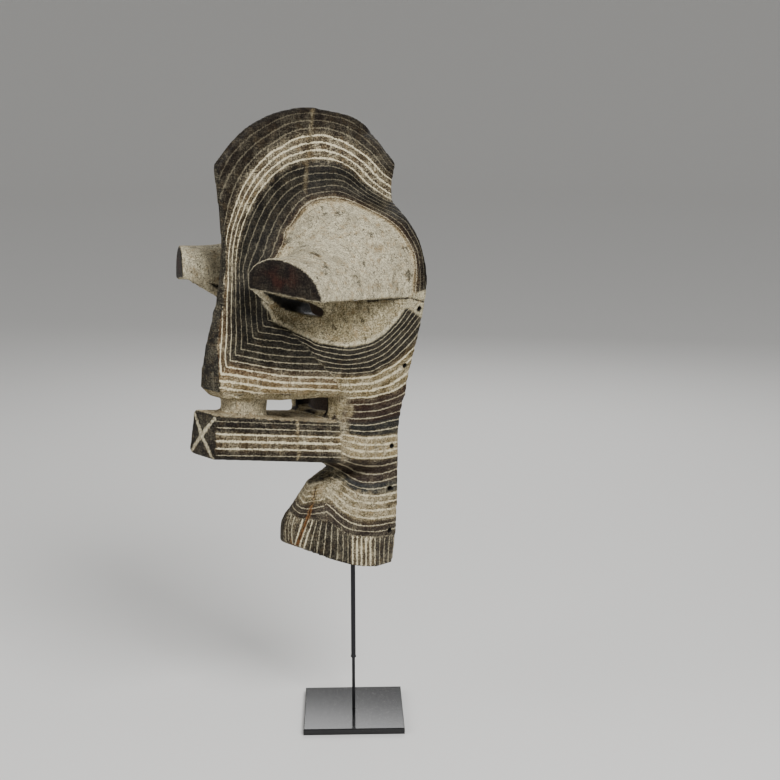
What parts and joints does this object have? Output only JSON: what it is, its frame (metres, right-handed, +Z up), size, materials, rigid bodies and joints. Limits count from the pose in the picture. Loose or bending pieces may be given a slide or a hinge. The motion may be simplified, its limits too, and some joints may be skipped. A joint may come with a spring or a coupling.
{
  "type": "carved face mask on stand",
  "caption": "Tall carved wooden face mask with a high crest, tubular half-round eyes, jutting square mouth and beard, open at the back, on a thin metal rod and square base plate.",
  "frame": {"origin": "centre of the base plate's underside", "axes": "+Z up; the mask faces -Y; its own left side is at +X"},
  "size_m": [0.266, 0.3095, 0.753],
  "materials": {
    "mask_wood": "carved wood, dark brown-black pigment with chalky cream lines rubbed into narrow grooves, worn",
    "plate_gloss_black": "polished black, dusty on top",
    "rod_dark_metal": "dark satin metal"
  },
  "bodies": {
    "root": {"mask": "mask_wood", "base_plate": "plate_gloss_black", "lower_rod": "rod_dark_metal", "upper_tube": "rod_dark_metal", "top_holder": "rod_dark_metal", "chin_arm": "rod_dark_metal"}
  },
  "joints": []
}
